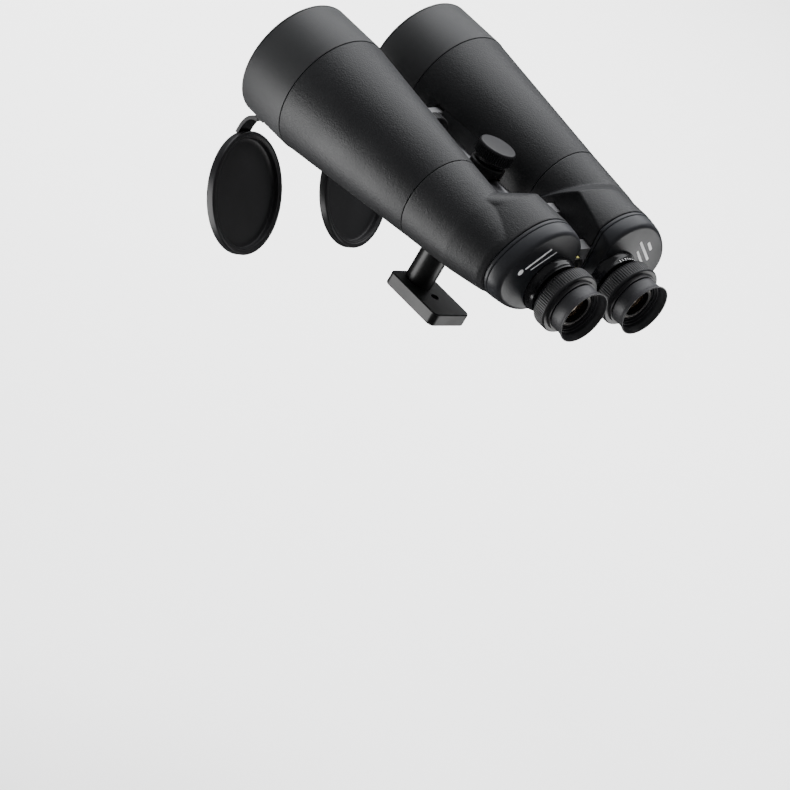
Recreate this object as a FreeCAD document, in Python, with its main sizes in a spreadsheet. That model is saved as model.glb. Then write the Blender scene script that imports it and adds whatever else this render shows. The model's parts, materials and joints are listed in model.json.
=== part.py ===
import FreeCAD, Part
import math
import os

import Sketcher
from types import SimpleNamespace

# Astronomy binoculars, 20x80 class, on their tripod adapter.
# Frame of the file: origin at the mouth of the tripod thread under the foot plate, +Z up along
# the pillar, +Y toward the objectives, +X toward the user's right.  Millimetres.

DIMENSIONS = {
    # adapter
    "rod_height": 105.0,
    "pillar_setback": 20.0,
    "lean": 5.9,
    "plate_length": 56.2,
    "plate_width": 41.0,
    "plate_thickness": 10.5,
    "plate_front": 13.4,
    "plate_corner": 5.0,
    "plate_edge": 0.8,
    "pillar_radius": 11.3,
    "overrun": 1.0,
    "saddle_length": 80.0,
    "head_radius": 14.0,
    "head_round": 15.0,
    "head_top": 16.0,
    "head_edge": 1.0,
    "head_overlap": 6.0,
    "insert_radius": 5.2,
    "insert_length": 6.5,
    "insert_hole": 3.5,
    "thread_radius": 3.175,
    "slot_width": 1.4,
    "slot_depth": 1.6,
    "screw_circle": 16.0,
    "screw_head_radius": 3.5,
    "screw_head_length": 4.0,
    "screw_radius": 2.0,
    "screw_length": 14.0,
    "screw_hex": 3.0,
    "screw_socket": 2.1,
    "screw_play": 0.2,
    "counterbore_radius": 4.4,
    "counterbore_depth": 4.6,
    # clamp
    "pad_radius": 3.65,
    "pad_length": 2.2,
    "clamp_radius": 3.95,
    "clamp_length": 12.0,
    "knob_radius": 15.5,
    "knob_band": 8.0,
    "knob_cap": 2.0,
    "knob_skirt": 4.4,
    "knob_neck": 12.0,
    "knob_step": 1.2,
    "knob_taper": 0.9,
    "clamp_gap": 0.4,
    "bush_wall": 1.5,
    "bush_length": 18.4,
    "fit_gap": 0.05,
    # rod and hinge line
    "rod_radius": 8.9,
    "rod_rear": 37.0,
    "rod_front": 54.0,
    "spigot_radius": 6.0,
    "spigot_front": 84.0,
    "spigot_rear": 106.0,
    "collar_radius": 10.85,
    "collar_length": 12.0,
    "collar_hole": 1.5,
    "collar_hole_place": 4.8,
    "end_knob_length": 10.0,
    "end_knob_neck": 2.0,
    "turned_edge": 1.0,
    "hinge_cap_radius": 9.5,
    "hinge_cap_length": 4.0,
    "knuckle_radius": 12.5,
    "knuckle_length": 10.8,
    "knuckle_first": 50.0,
    "knuckle_last": 94.0,
    "knuckle_gap": 0.5,
    "arm_top": 13.5,
    "arm_bottom": 8.0,
    "arm_reach": 30.0,
    "front_arm_start": 66.0,
    "front_arm_length": 6.5,
    "front_arm_half": 8.0,
    # objective side
    "objective_offset": 67.4,
    "objective_rise": 3.8,
    "sleeve_radius": 50.0,
    "sleeve_rear": 104.5,
    "sleeve_front": 152.0,
    "sleeve_lip": 44.5,
    "sleeve_lip_depth": 2.5,
    "sleeve_edge": 1.6,
    "sleeve_step": 0.4,
    "armour_gap": 0.3,
    "arm_play": 0.6,
    "arm_sink": 3.5,
    "skin": 2.0,
    "tube_wall": 2.5,
    "seam_radius": 35.5,
    "seam_rear": 24.7,
    "tube_front": 149.5,
    "cell_rear": 112.0,
    "cell_front": 146.0,
    "lens_radius": 41.0,
    "lens_seat": 121.0,
    "aperture_radius": 39.0,
    "crown_thickness": 9.5,
    "crown_front_curve": 350.0,
    "crown_back_curve": 250.0,
    "flint_thickness": 8.0,
    "flint_centre": 3.5,
    "lens_gap": 0.25,
    "lens_stock": 24.0,
    "lens_ring_length": 3.5,
    "lens_ring_bore": 39.6,
    "lens_ring_back": 1.8,
    # prism housing
    "lobe_offset": 44.5,
    "lobe_rise": 7.7,
    "lobe_radius": 36.8,
    "outer_lobe_radius": 23.0,
    "lobe_blend": 12.0,
    "housing_rear": 104.6,
    "housing_wall": 2.5,
    "housing_front_wall": 5.0,
    "cone_taper": 0.1083,
    "tail_start": 70.0,
    "tail_start_radius": 31.0,
    "tail_middle": 88.0,
    "tail_middle_radius": 28.0,
    "tail_end": 100.0,
    "tail_end_radius": 25.8,
    "tail_rear_radius": 23.6,
    "wall_rear": 15.5,
    "wall_slope": 0.2,
    "root_inset": 8.0,
    "root_lead": 6.0,
    "light_bore": 22.0,
    "ledge_inset_ratio": 1.2,
    "ledge_front": 22.0,
    "ledge_rear": 36.3,
    "ledge_slope_z": 0.732,
    "ledge_slope_x": 0.17,
    "ledge_radius": 31.0,
    "cover_step": 107.8,
    "cover_rim": 117.4,
    "cover_rear": 119.2,
    "cover_gap": 0.2,
    "cover_relief": 0.3,
    "cover_step_run": 0.4,
    "cover_inset": 2.4,
    "cover_bevel": 1.6,
    "cover_hole_play": 0.6,
    "cover_wall": 2.6,
    "prism_radius": 7.2,
    "shelf_plane": 78.0,
    "shelf_thickness": 3.0,
    "shelf_hole": 6.4,
    "shelf_play": 0.3,
    "prism_gap": 0.1,
    # eyepiece
    "eyepiece_offset": 34.0,
    "eyepiece_drop": 3.2,
    "base_radius": 23.4,
    "base_flare": 0.6,
    "base_flare_length": 2.5,
    "base_shoulder": 21.6,
    "base_shoulder_start": 5.0,
    "base_shoulder_end": 8.2,
    "base_waist": 17.2,
    "base_length": 17.5,
    "barrel_radius": 12.9,
    "barrel_bore": 11.0,
    "barrel_nose": 13.65,
    "flange_radius": 17.2,
    "flange_length": 2.6,
    "flange_plane": 140.2,
    "barrel_front": 113.0,
    "barrel_rear": 151.0,
    "ring_radius": 25.3,
    "ring_front": 131.0,
    "ring_rear": 144.5,
    "ring_bore": 17.6,
    "ring_collar": 21.5,
    "ring_collar_rear": 147.2,
    "ring_nose_bore": 14.0,
    "ring_bevel": 2.6,
    "ring_edge": 0.8,
    "eye_lens_set": 6.5,
    "field_lens_set": 1.0,
    "eye_lens_thickness": 4.5,
    "eye_lens_curve": 24.0,
    "field_lens_thickness": 5.0,
    "field_lens_curve": 40.0,
    "cup_radius": 20.4,
    "cup_rim": 22.3,
    "cup_rear": 160.0,
    "cup_wall": 1.8,
    "cup_seat": 16.0,
    "cup_floor": 1.6,
    "cup_waist": 19.8,
    "cup_waist_place": 3.2,
    "cup_swell": 20.1,
    "cup_swell_place": 7.7,
    "cup_bore": 18.0,
    "cup_bore_place": 7.0,
    "cup_lip": 1.2,
    # objective caps
    "cap_radius": 47.3,
    "cap_thickness": 7.7,
    "cap_recess_radius": 42.0,
    "cap_recess": 5.6,
    "cap_back_edge": 1.5,
    "cap_rim_edge": 0.8,
    "cap_tilt": 31.5,
    "cap_twist": 12.0,
    "cap_forward": 137.1,
    "cap_drop": 108.3,
    "cap_drop_more": 3.0,
    "cap_aside": 8.0,
    "cap_aside_more": 13.0,
    "strap_width": 13.0,
    "strap_thickness": 3.0,
    "strap_forward": 149.5,
    "strap_gap": 1.0,
    "strap_overlap": 1.0,
}


class Size:
    """A length with its number and the sheet expression that gives it."""

    def __init__(self, value, text=None):
        self.value = float(value)
        self.text = text or repr(float(value))

    @staticmethod
    def of(thing):
        return thing if isinstance(thing, Size) else Size(thing)

    def join(self, other, sign, result):
        return Size(result, "({} {} {})".format(self.text, sign, other.text))

    def __add__(self, other):
        other = Size.of(other)
        return self.join(other, "+", self.value + other.value)

    def __sub__(self, other):
        other = Size.of(other)
        return self.join(other, "-", self.value - other.value)

    def __mul__(self, factor):
        factor = Size.of(factor)
        return self.join(factor, "*", self.value * factor.value)

    def __neg__(self):
        return Size(-self.value, "(-1 * {})".format(self.text))


doc = FreeCAD.newDocument("binoculars")
sheet = doc.addObject("Spreadsheet::Sheet", "Dimensions")
for row, (name, number) in enumerate(DIMENSIONS.items(), start=1):
    sheet.set("A{}".format(row), name)
    sheet.set("B{}".format(row), str(number))
    sheet.setAlias("B{}".format(row), name)
doc.recompute()
size = SimpleNamespace(**{
    name: Size(number, "Dimensions." + name) for name, number in DIMENSIONS.items()
})
plain = SimpleNamespace(**DIMENSIONS)

SIDES = {"left": -1, "right": 1}
HINGE_LINE = FreeCAD.Vector(0, plain.pillar_setback, plain.rod_height)
nodes = []


# ---------------------------------------------------------------- small helpers

def keep(item, label, where=None):
    """Give a finished sub-part its label and its place, counted from the hinge line."""
    item.Label = label
    if where is not None:
        item.Placement = where
    nodes.append(item)
    return item


def at(x=0.0, y=0.0, z=0.0, rotation=None):
    """A placement in hinge-line coordinates: origin where the pillar axis meets the rod."""
    turn = rotation or FreeCAD.Rotation()
    return FreeCAD.Placement(HINGE_LINE + FreeCAD.Vector(x, y, z), turn)


FORWARD = FreeCAD.Rotation(FreeCAD.Vector(1, 0, 0), -90)
BACKWARD = FreeCAD.Rotation(FreeCAD.Vector(1, 0, 0), 90)


def new_body(label):
    return doc.addObject("PartDesign::Body", label)


def plane_of(body, role):
    return [item for item in body.Origin.OriginFeatures if item.Role == role][0]


def new_sketch(body, role):
    sketch = body.newObject("Sketcher::SketchObject", "Sketch")
    sketch.AttachmentSupport = [(plane_of(body, role), "")]
    sketch.MapMode = "FlatFace"
    return sketch


def pin_point(sketch, edge, end, across, along):
    """Hold one end of an edge at two sheet-driven distances from the sketch origin."""
    for kind, axis, distance in (("DistanceX", -2, across), ("DistanceY", -1, along)):
        if distance.value == 0.0:
            sketch.addConstraint(Sketcher.Constraint("PointOnObject", edge, end, axis))
            continue
        number = sketch.addConstraint(
            Sketcher.Constraint(kind, -1, 1, edge, end, distance.value))
        sketch.setExpression("Constraints[{}]".format(number), distance.text)


def closed_profile(body, points, role="XZ_Plane"):
    """A closed outline of straight edges through sheet-driven corners."""
    sketch = new_sketch(body, role)
    sizes = [(Size.of(across), Size.of(along)) for across, along in points]
    corners = [FreeCAD.Vector(across.value, along.value, 0) for across, along in sizes]
    count = len(corners)
    for index in range(count):
        sketch.addGeometry(Part.LineSegment(corners[index], corners[(index + 1) % count]))
    for index in range(count):
        sketch.addConstraint(
            Sketcher.Constraint("Coincident", index, 2, (index + 1) % count, 1))
    for index, (across, along) in enumerate(sizes):
        pin_point(sketch, index, 1, across, along)
    return sketch


def turned(label, points, where):
    """A piece turned about its own Z axis from a profile of (radius, height) corners."""
    body = new_body(label)
    sketch = closed_profile(body, points)
    turn = body.newObject("PartDesign::Revolution", "Turn")
    turn.Profile = sketch
    turn.ReferenceAxis = (sketch, ["V_Axis"])
    turn.Angle = 360
    sketch.Visibility = False
    return keep(body, label, where)


def circle_sketch(body, role, radius, across=0.0, along=0.0):
    """A sheet-driven circle centred at two sheet-driven distances."""
    across = Size.of(across)
    along = Size.of(along)
    sketch = new_sketch(body, role)
    centre = FreeCAD.Vector(across.value, along.value, 0)
    sketch.addGeometry(Part.Circle(centre, FreeCAD.Vector(0, 0, 1), radius.value))
    number = sketch.addConstraint(Sketcher.Constraint("Radius", 0, radius.value))
    sketch.setExpression("Constraints[{}]".format(number), radius.text)
    pin_point(sketch, 0, 3, across, along)
    return sketch


def pocket(body, sketch, depth=None, backward=False):
    """Cut a sketch into a body, to a depth or right through, and check that it cut."""
    doc.recompute()
    before = body.Shape.Volume
    cut = body.newObject("PartDesign::Pocket", "Pocket")
    cut.Profile = sketch
    cut.Reversed = backward
    if depth is None:
        cut.Type = "ThroughAll"
    else:
        cut.Type = "Length"
        cut.setExpression("Length", Size.of(depth).text)
    doc.recompute()
    if not body.Shape.Volume < before:
        raise RuntimeError("a pocket in {} cut nothing".format(body.Label))
    return cut


def repeat_round(body, feature, count):
    pattern = body.newObject("PartDesign::PolarPattern", "Repeat")
    pattern.Originals = [feature]
    axis = [item for item in body.Origin.OriginFeatures if item.Role == "Z_Axis"][0]
    pattern.Axis = (axis, [""])
    pattern.Angle = 360
    pattern.Occurrences = count
    body.Tip = pattern
    return pattern


def primitive(kind, where=None, **sizes):
    """A Part primitive whose properties follow the sheet."""
    item = doc.addObject("Part::" + kind, kind)
    for name, value in sizes.items():
        item.setExpression(name, Size.of(value).text)
    if where is not None:
        item.Placement = where
    return item


def local(x=0.0, y=0.0, z=0.0, rotation=None):
    return FreeCAD.Placement(FreeCAD.Vector(x, y, z), rotation or FreeCAD.Rotation())


def combine(kind, first, second):
    """Part::Cut or Part::Common of two objects."""
    item = doc.addObject("Part::" + kind, kind)
    item.Base = first
    item.Tool = second
    return item


def fuse(*items):
    item = doc.addObject("Part::MultiFuse", "Fuse")
    item.Shapes = list(items)
    return item


def shaped(label, shape):
    """A sub-part whose shape is worked out by Part's own functions, in hinge-line coordinates."""
    item = doc.addObject("Part::Feature", label)
    item.Shape = shape
    return keep(item, label, at())


# ---------------------------------------------------------------- adapter

def foot_plate():
    """Flat plate with rounded corners, three counterbored screws and a thread insert."""
    body = new_body("foot_plate")
    half = size.plate_width * 0.5
    front = size.plate_front
    rear = size.plate_front - size.plate_length
    outline = closed_profile(
        body, [(-half, rear), (half, rear), (half, front), (-half, front)], "XY_Plane")
    pad = body.newObject("PartDesign::Pad", "Plate")
    pad.Profile = outline
    pad.setExpression("Length", size.plate_thickness.text)
    doc.recompute()
    upright = [
        "Edge{}".format(index + 1) for index, edge in enumerate(pad.Shape.Edges)
        if abs(edge.tangentAt(edge.FirstParameter).z) > 0.99
    ]
    corners = body.newObject("PartDesign::Fillet", "Corners")
    corners.Base = (pad, upright)
    corners.setExpression("Radius", size.plate_corner.text)
    doc.recompute()
    rims = [
        "Edge{}".format(index + 1) for index, edge in enumerate(corners.Shape.Edges)
        if max(v.Point.z for v in edge.Vertexes) - min(v.Point.z for v in edge.Vertexes) < 1e-6
    ]
    bevel = body.newObject("PartDesign::Chamfer", "Bevel")
    bevel.Base = (corners, rims)
    bevel.setExpression("Size", size.plate_edge.text)
    pocket(body, circle_sketch(body, "XY_Plane", size.insert_radius,
                               along=-size.pillar_setback), size.insert_length, backward=True)
    pocket(body, circle_sketch(body, "XY_Plane", size.insert_hole,
                               along=-size.pillar_setback), backward=True)
    reach = size.screw_circle * 0.5
    hole = size.screw_radius + size.screw_play
    through = pocket(body, circle_sketch(body, "XY_Plane", hole, along=reach), backward=True)
    repeat_round(body, through, SCREW_COUNT)
    sink = pocket(body, circle_sketch(body, "XY_Plane", size.counterbore_radius, along=reach),
                  size.counterbore_depth, backward=True)
    repeat_round(body, sink, SCREW_COUNT)
    keep(body, "foot_plate", local(y=plain.pillar_setback))


def thread_insert():
    """Slotted nickel insert with the 1/4 inch tripod thread."""
    body = new_body("thread_insert")
    closed = closed_profile(body, [
        (size.thread_radius, 0), (size.insert_radius, 0),
        (size.insert_radius, size.insert_length), (size.thread_radius, size.insert_length),
    ])
    turn = body.newObject("PartDesign::Revolution", "Turn")
    turn.Profile = closed
    turn.ReferenceAxis = (closed, ["V_Axis"])
    half = size.slot_width * 0.5
    reach = size.insert_radius + size.overrun
    slot = closed_profile(
        body, [(-half, -reach), (half, -reach), (half, reach), (-half, reach)], "XY_Plane")
    pocket(body, slot, size.slot_depth, backward=True)
    keep(body, "thread_insert", local())


SCREW_COUNT = 3
HEX_CORNER = 1 / math.sqrt(3)


def screw_places():
    """Centres of the plate screws, evenly round the pillar and starting in front of it."""
    reach = plain.screw_circle / 2
    for index in range(SCREW_COUNT):
        angle = 2 * math.pi * index / SCREW_COUNT
        yield reach * math.sin(angle), plain.pillar_setback + reach * math.cos(angle)


def plate_screws():
    """Three M4 socket screws that hold the plate under the pillar."""
    screws = []
    base = plain.counterbore_depth - plain.screw_play - plain.screw_head_length
    for x, y in screw_places():
        head = primitive("Cylinder", local(x, y, base),
                         Radius=size.screw_head_radius, Height=size.screw_head_length)
        shank = primitive("Cylinder", local(x, y, base),
                          Radius=size.screw_radius, Height=size.screw_length)
        socket = primitive("Prism", local(x, y, base),
                           Circumradius=size.screw_hex * HEX_CORNER, Height=size.screw_socket)
        screws.append(combine("Cut", fuse(head, shank), socket))
    keep(fuse(*screws), "plate_screws")


def pillar():
    """Upright post with a rounded head, bored across for the rod and down for the clamp."""
    top = plain.rod_height + plain.head_top
    foot = plain.plate_thickness
    post = primitive("Cylinder", local(0, plain.pillar_setback, foot),
                     Radius=size.pillar_radius,
                     Height=size.rod_height - size.plate_thickness - size.head_overlap)
    head_height = size.head_top + size.head_round + size.head_overlap
    head_base = plain.rod_height - plain.head_round - plain.head_overlap
    barrel = primitive("Cylinder",
                       local(0, plain.pillar_setback, head_base),
                       Radius=size.head_radius, Height=head_height)
    half = plain.saddle_length / 2
    along_rod = local(0, plain.pillar_setback - half, plain.rod_height, FORWARD)
    saddle = primitive("Cylinder", along_rod, Radius=size.head_round, Height=size.saddle_length)
    crown = primitive("Box", local(-half, plain.pillar_setback - half,
                                   plain.rod_height - plain.head_overlap / 2),
                      Length=size.saddle_length, Width=size.saddle_length,
                      Height=size.head_top + size.head_overlap)
    head = combine("Common", barrel, fuse(saddle, crown))
    cross = primitive("Cylinder", along_rod,
                      Radius=size.rod_radius + size.bush_wall + size.fit_gap * 2,
                      Height=size.saddle_length)
    tapped = primitive("Cylinder", local(0, plain.pillar_setback, plain.rod_height),
                       Radius=size.clamp_radius + size.fit_gap,
                       Height=size.head_top + size.overrun)
    bores = [cross, tapped]
    for x, y in screw_places():
        bores.append(primitive("Cylinder", local(x, y, foot),
                               Radius=size.screw_radius, Height=size.screw_length))
    cut = combine("Cut", fuse(post, head), fuse(*bores))
    doc.recompute()
    rims = [
        index + 1 for index, edge in enumerate(cut.Shape.Edges)
        if edge.BoundBox.ZMin > top - plain.fit_gap and edge.BoundBox.XLength > plain.head_radius
    ]
    post_and_head = doc.addObject("Part::Chamfer", "Chamfer")
    post_and_head.Base = cut
    post_and_head.Edges = [(number, plain.head_edge, plain.head_edge) for number in rims]
    keep(post_and_head, "pillar")


def clamp():
    """Bush round the rod, pressure pad, clamp screw and knurled clamp knob."""
    outer = size.rod_radius + size.bush_wall + size.fit_gap
    turned("rod_bush", [
        (size.rod_radius + size.fit_gap, 0), (outer, 0),
        (outer, size.bush_length), (size.rod_radius + size.fit_gap, size.bush_length),
    ], at(y=-plain.bush_length / 2, rotation=FORWARD))
    pad_base = plain.rod_radius + plain.bush_wall + plain.clamp_gap
    turned("clamp_pad", [
        (0, 0), (size.pad_radius, 0), (size.pad_radius, size.pad_length), (0, size.pad_length),
    ], at(z=pad_base))
    screw_base = pad_base + plain.pad_length + plain.fit_gap
    turned("clamp_screw", [
        (0, 0), (size.clamp_radius, 0),
        (size.clamp_radius, size.clamp_length), (0, size.clamp_length),
    ], at(z=screw_base))
    seat = plain.head_top + plain.clamp_gap
    depth = Size(plain.clamp_length - (seat - screw_base))
    skirt_top = size.knob_skirt
    band_top = size.knob_skirt + size.knob_band
    top = band_top + size.knob_cap
    turned("clamp_knob", [
        (size.clamp_radius, 0), (size.knob_neck, 0),
        (size.knob_radius - size.knob_step, skirt_top), (size.knob_radius, skirt_top),
        (size.knob_radius, band_top), (size.knob_radius - size.knob_taper, top),
        (0, top), (0, depth), (size.clamp_radius, depth),
    ], at(z=seat))


COLLAR_HOLES = 3


def rod():
    """Cross rod of the adapter, which is also the hinge pin of the two halves."""
    start = size.spigot_rear - size.rod_rear
    stop = size.spigot_rear + size.rod_front
    end = size.spigot_rear + size.spigot_front
    turned("adapter_rod", [
        (0, 0), (size.spigot_radius, 0), (size.spigot_radius, start), (size.rod_radius, start),
        (size.rod_radius, stop), (size.spigot_radius, stop), (size.spigot_radius, end), (0, end),
    ], at(y=-plain.spigot_rear, rotation=FORWARD))
    collar = turned("rod_collar", [
        (size.spigot_radius, 0), (size.collar_radius, 0),
        (size.collar_radius, size.collar_length), (size.spigot_radius, size.collar_length),
    ], at(y=-plain.rod_rear - plain.collar_length, rotation=FORWARD))
    hole = pocket(collar, circle_sketch(collar, "XZ_Plane", size.collar_hole,
                                        along=size.collar_hole_place))
    repeat_round(collar, hole, COLLAR_HOLES)
    edge = size.turned_edge
    neck = size.end_knob_neck
    turned("rod_end_knob", [
        (size.spigot_radius, 0), (size.collar_radius, 0), (size.collar_radius, neck),
        (size.knob_radius - edge, neck), (size.knob_radius, neck + edge),
        (size.knob_radius, size.end_knob_length),
        (size.knob_radius - edge, size.end_knob_length + edge),
        (size.spigot_radius, size.end_knob_length + edge),
    ], at(y=plain.rod_front, rotation=FORWARD))
    for name, start_y, turn in (("rear_hinge_cap", -plain.spigot_rear, BACKWARD),
                                ("front_hinge_cap", plain.spigot_front, FORWARD)):
        turned(name, [
            (0, 0), (size.hinge_cap_radius, 0),
            (size.hinge_cap_radius, size.hinge_cap_length - edge),
            (size.hinge_cap_radius - edge, size.hinge_cap_length), (0, size.hinge_cap_length),
        ], at(y=start_y, rotation=turn))


# ---------------------------------------------------------------- objective side

def on_objective_axis(side, y, rotation=FORWARD):
    return at(side * plain.objective_offset, y, plain.objective_rise, rotation)


def tube_radius(y):
    """Outside radius of the conical armour at a station along the hinge line."""
    rise = plain.sleeve_radius - plain.sleeve_step - plain.seam_radius
    share = (y + plain.seam_rear) / (plain.sleeve_rear + plain.seam_rear)
    return plain.seam_radius + rise * share


def front_arm_station(side):
    """Where a front bridge arm starts along the hinge line; the two lie side by side."""
    return plain.front_arm_start + (plain.front_arm_length + plain.knuckle_gap) * (side > 0)


def front_arm_box(side, start):
    """One front bridge arm, from the hinge line into the tube."""
    half = plain.front_arm_half
    reach = plain.objective_offset - tube_radius(start) + plain.arm_sink
    corner = FreeCAD.Vector(0 if side > 0 else -reach, start, -half)
    return Part.makeBox(reach, plain.front_arm_length, 2 * half, corner)


def objective_side(name, side):
    """Tube, armour, sleeve, cell, lenses and retaining ring of one barrel."""
    length = size.seam_rear + size.sleeve_rear
    full = size.seam_rear + size.tube_front
    rear = size.seam_radius - size.skin
    front = size.sleeve_radius - size.skin - size.sleeve_step
    turned(name + "_objective_tube", [
        (rear - size.tube_wall, 0), (rear, 0), (front, length), (front, full),
        (front - size.tube_wall, full), (front - size.tube_wall, length),
    ], on_objective_axis(side, -plain.seam_rear))
    armour = turned(name + "_tube_armour", [
        (rear + size.fit_gap, size.armour_gap), (size.seam_radius, size.armour_gap),
        (size.sleeve_radius - size.sleeve_step, length - size.armour_gap),
        (front + size.fit_gap, length - size.armour_gap),
    ], on_objective_axis(side, -plain.seam_rear))
    start = front_arm_station(side)
    low = size.seam_rear + start - size.arm_play
    high = size.seam_rear + start + size.front_arm_length + size.arm_play
    half = size.front_arm_half + size.arm_play
    rise = size.objective_rise
    slot = closed_profile(armour, [
        (rise - half, low), (rise + half, low), (rise + half, high), (rise - half, high),
    ], "YZ_Plane")
    pocket(armour, slot, backward=side < 0)
    sleeve_length = size.sleeve_front - size.sleeve_rear
    edge = size.sleeve_edge
    lip = sleeve_length - size.sleeve_lip_depth
    turned(name + "_objective_sleeve", [
        (front, 0), (size.sleeve_radius, 0), (size.sleeve_radius, sleeve_length - edge),
        (size.sleeve_radius - edge, sleeve_length), (size.sleeve_lip, sleeve_length),
        (size.sleeve_lip, lip), (front, lip),
    ], on_objective_axis(side, plain.sleeve_rear))
    bore = front - size.tube_wall
    cell = size.cell_front - size.cell_rear
    seat = size.lens_seat - size.cell_rear
    turned(name + "_objective_cell", [
        (size.aperture_radius, 0), (bore, 0), (bore, cell),
        (size.lens_radius + size.fit_gap, cell), (size.lens_radius + size.fit_gap, seat),
        (size.aperture_radius, seat),
    ], on_objective_axis(side, plain.cell_rear))
    lens_pair(name, side)


def lens_pair(name, side):
    """Air-spaced doublet: convex crown in front, hollowed flint behind, ring in front of both."""
    seat = plain.lens_seat
    blank = primitive("Cylinder", on_objective_axis(side, seat),
                      Radius=size.lens_radius, Height=size.flint_thickness)
    hollow_depth = plain.flint_thickness - plain.flint_centre
    bowl = primitive("Sphere",
                     on_objective_axis(side, seat + hollow_depth + plain.crown_back_curve),
                     Radius=size.crown_back_curve)
    keep(combine("Cut", blank, bowl), name + "_flint_lens")
    back = seat + hollow_depth + plain.lens_gap
    front = back + plain.crown_thickness
    disc = primitive("Cylinder", on_objective_axis(side, seat),
                     Radius=size.lens_radius, Height=size.lens_stock)
    near = primitive("Sphere", on_objective_axis(side, back + plain.crown_back_curve),
                     Radius=size.crown_back_curve)
    far = primitive("Sphere", on_objective_axis(side, front - plain.crown_front_curve),
                    Radius=size.crown_front_curve)
    keep(combine("Common", combine("Common", disc, near), far), name + "_crown_lens")
    turned(name + "_lens_ring", [
        (size.lens_ring_bore, 0), (size.lens_radius, 0),
        (size.lens_radius, size.lens_ring_length), (size.lens_ring_bore, size.lens_ring_length),
    ], on_objective_axis(side, front - plain.lens_ring_back))


def front_arm(name, side):
    """Bridge arm from the objective tube to the hinge line."""
    start = front_arm_station(side)
    axis = FreeCAD.Vector(0, 1, 0)
    origin = FreeCAD.Vector(0, start, 0)
    knuckle = Part.makeCylinder(plain.knuckle_radius, plain.front_arm_length, origin, axis)
    web = front_arm_box(side, start)
    tube = Part.makeCone(
        plain.seam_radius - plain.skin,
        plain.sleeve_radius - plain.sleeve_step - plain.skin,
        plain.sleeve_rear + plain.seam_rear,
        FreeCAD.Vector(side * plain.objective_offset, -plain.seam_rear, plain.objective_rise),
        axis)
    bore = Part.makeCylinder(plain.spigot_radius + plain.fit_gap, plain.front_arm_length,
                             origin, axis)
    shaped(name + "_front_arm", knuckle.fuse(web).cut(tube).cut(bore).removeSplitter())


# ---------------------------------------------------------------- prism housing

RING_POINTS = 36


def outline_points(inset, station):
    """Points of the housing's outline; station gives the y of a point from x and z.

    The outline is the smooth hull of the prism lobe and of the outer lobe on the barrel's axis.
    """
    blend = plain.lobe_blend
    inner = FreeCAD.Vector(plain.lobe_offset, plain.lobe_rise, 0)
    outer = FreeCAD.Vector(plain.objective_offset, plain.objective_rise, 0)
    middle = (inner + outer) * 0.5
    lobes = ((inner - middle, plain.lobe_radius - inset),
             (outer - middle, plain.outer_lobe_radius - inset))
    points = []
    for index in range(RING_POINTS):
        angle = 2 * math.pi * index / RING_POINTS
        normal = FreeCAD.Vector(math.cos(angle), math.sin(angle), 0)
        tangent = FreeCAD.Vector(-normal.y, normal.x, 0)
        reaches = [centre.dot(normal) + radius for centre, radius in lobes]
        reach = sum(value ** blend for value in reaches) ** (1 / blend)
        drift = sum((value / reach) ** (blend - 1) * centre.dot(tangent)
                    for value, (centre, _) in zip(reaches, lobes))
        point = middle + normal * reach + tangent * drift
        points.append(FreeCAD.Vector(point.x, station(point.x, point.y), point.y))
    return points


def circle_points(radius, station):
    points = []
    for index in range(RING_POINTS):
        angle = 2 * math.pi * index / RING_POINTS
        x = plain.objective_offset + radius * math.cos(angle)
        z = plain.objective_rise + radius * math.sin(angle)
        points.append(FreeCAD.Vector(x, station(x, z), z))
    return points


def ring(points):
    curve = Part.BSplineCurve()
    curve.interpolate(points, PeriodicFlag=True)
    return Part.Wire([curve.toShape()])


def ledge_station(start):
    """The shoulder slants back toward the top and the outside, and is square below the axis."""
    def station(x, z):
        return -start - plain.ledge_slope_x * x - plain.ledge_slope_z * max(z, 0.0)
    return station


def flat(y):
    return lambda x, z: y


def housing_block(inset, front, rear):
    """Cone of the barrel and rounded prism box behind the shoulder, inset from the outside."""
    origin = FreeCAD.Vector(plain.objective_offset, 0, plain.objective_rise)
    outline = [
        (plain.seam_radius - inset - plain.cone_taper * (front - plain.seam_rear), -front),
        (plain.tail_start_radius - inset, -plain.tail_start),
        (plain.tail_middle_radius - inset, -plain.tail_middle),
        (plain.tail_end_radius - inset, -plain.tail_end),
        (plain.tail_rear_radius - inset, -rear),
    ]
    corners = [FreeCAD.Vector(0, -front, 0)]
    corners += [FreeCAD.Vector(radius, y, 0) for radius, y in outline]
    corners += [FreeCAD.Vector(0, -rear, 0), FreeCAD.Vector(0, -front, 0)]
    face = Part.Face(Part.makePolygon(corners))
    cone = face.revolve(FreeCAD.Vector(0, 0, 0), FreeCAD.Vector(0, 1, 0), 360)
    cone.translate(origin)
    shift = inset * plain.ledge_inset_ratio
    rings = [
        ring(circle_points(plain.ledge_radius - plain.root_inset - inset,
                           flat(-front - plain.root_lead))),
        ring(circle_points(plain.ledge_radius - inset,
                           ledge_station(plain.ledge_front + shift))),
        ring(outline_points(inset, ledge_station(plain.ledge_rear + shift))),
        ring(outline_points(inset, flat(-rear))),
    ]
    box = Part.makeLoft(rings, True, True)
    return cone.fuse(box).cut(beside_wall(inset))


def knuckle_stations(side):
    """Where the two rear hinge knuckles of one half start, counted back from the pillar."""
    step = (plain.knuckle_length + plain.knuckle_gap) * (side < 0)
    return plain.knuckle_first + step, plain.knuckle_last - step


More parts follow.
